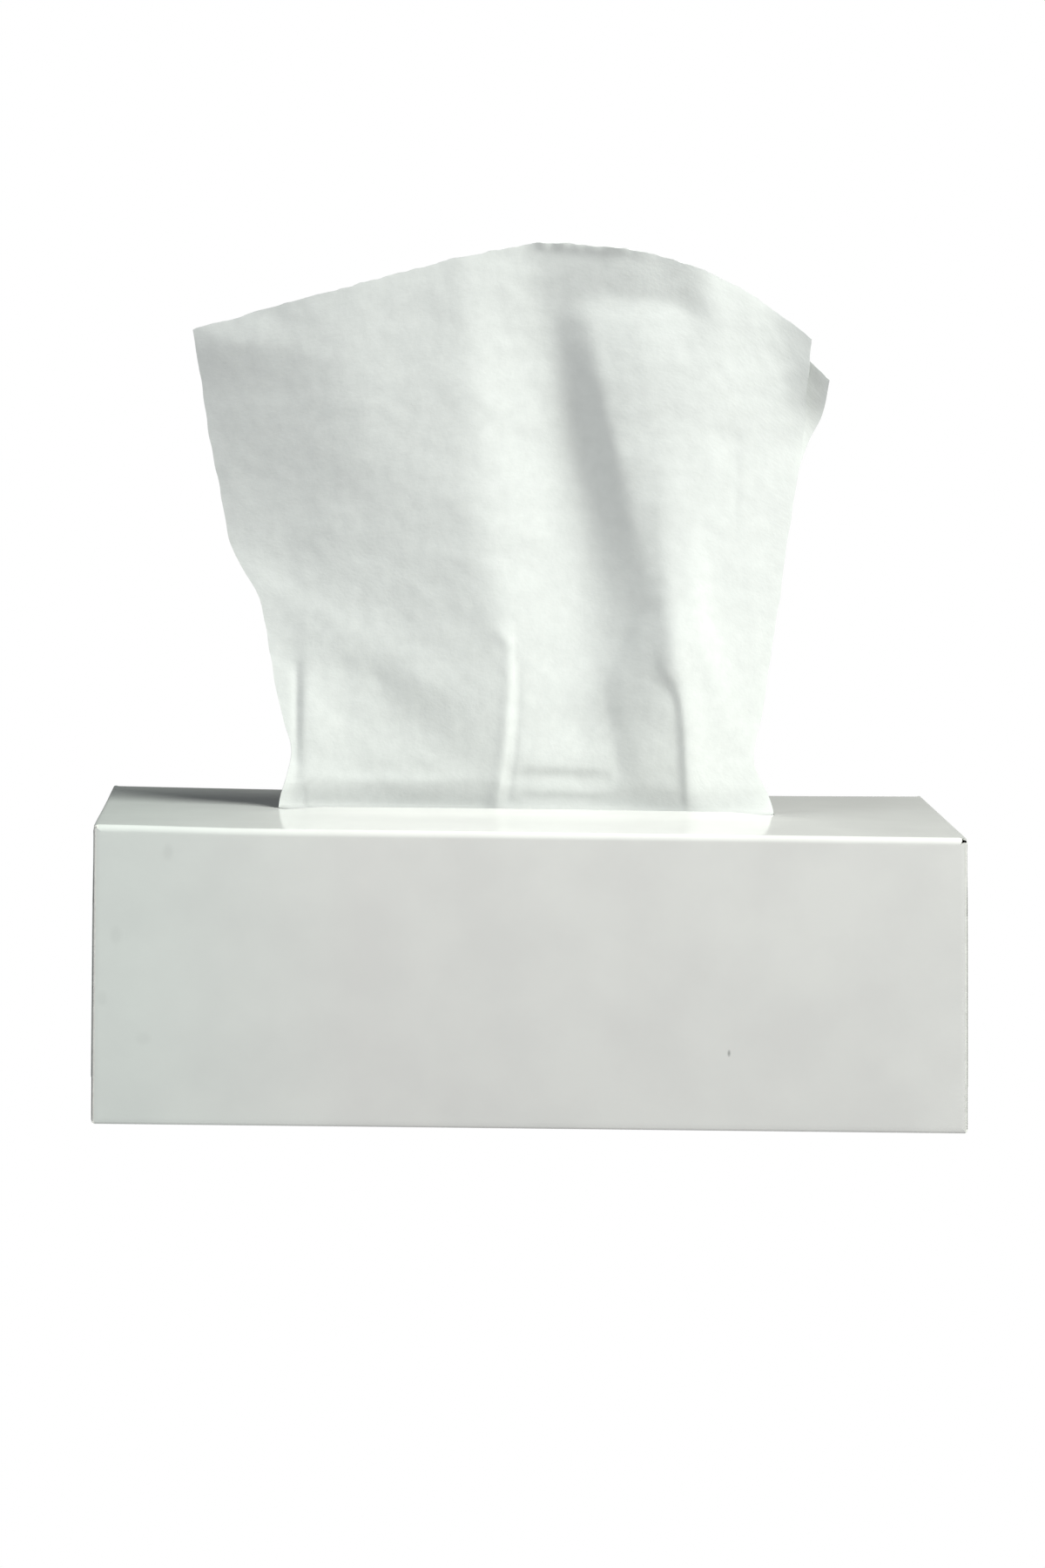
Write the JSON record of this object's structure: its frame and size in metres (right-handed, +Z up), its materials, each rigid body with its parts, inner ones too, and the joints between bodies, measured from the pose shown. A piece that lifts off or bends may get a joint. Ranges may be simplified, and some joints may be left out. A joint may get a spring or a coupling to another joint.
{
  "type": "tissue box",
  "caption": "Low white folded-board carton of facial tissues with a long slot in its top and a creased two-ply sheet standing out of it.",
  "frame": {"origin": "middle of the carton's underside, where it stands on a surface", "axes": "+X along the slot to the right as seen from the front, +Y away from the front panel, +Z up"},
  "size_m": [0.232, 0.116, 0.2328],
  "materials": {
    "board": "white coated folding board with a soft gloss",
    "tissue": "soft white creped tissue paper, thin enough to let light through"
  },
  "bodies": {
    "root": {"carton": "board", "tissue_stack": "tissue", "front_ply": "tissue", "back_ply": "tissue"}
  },
  "joints": []
}
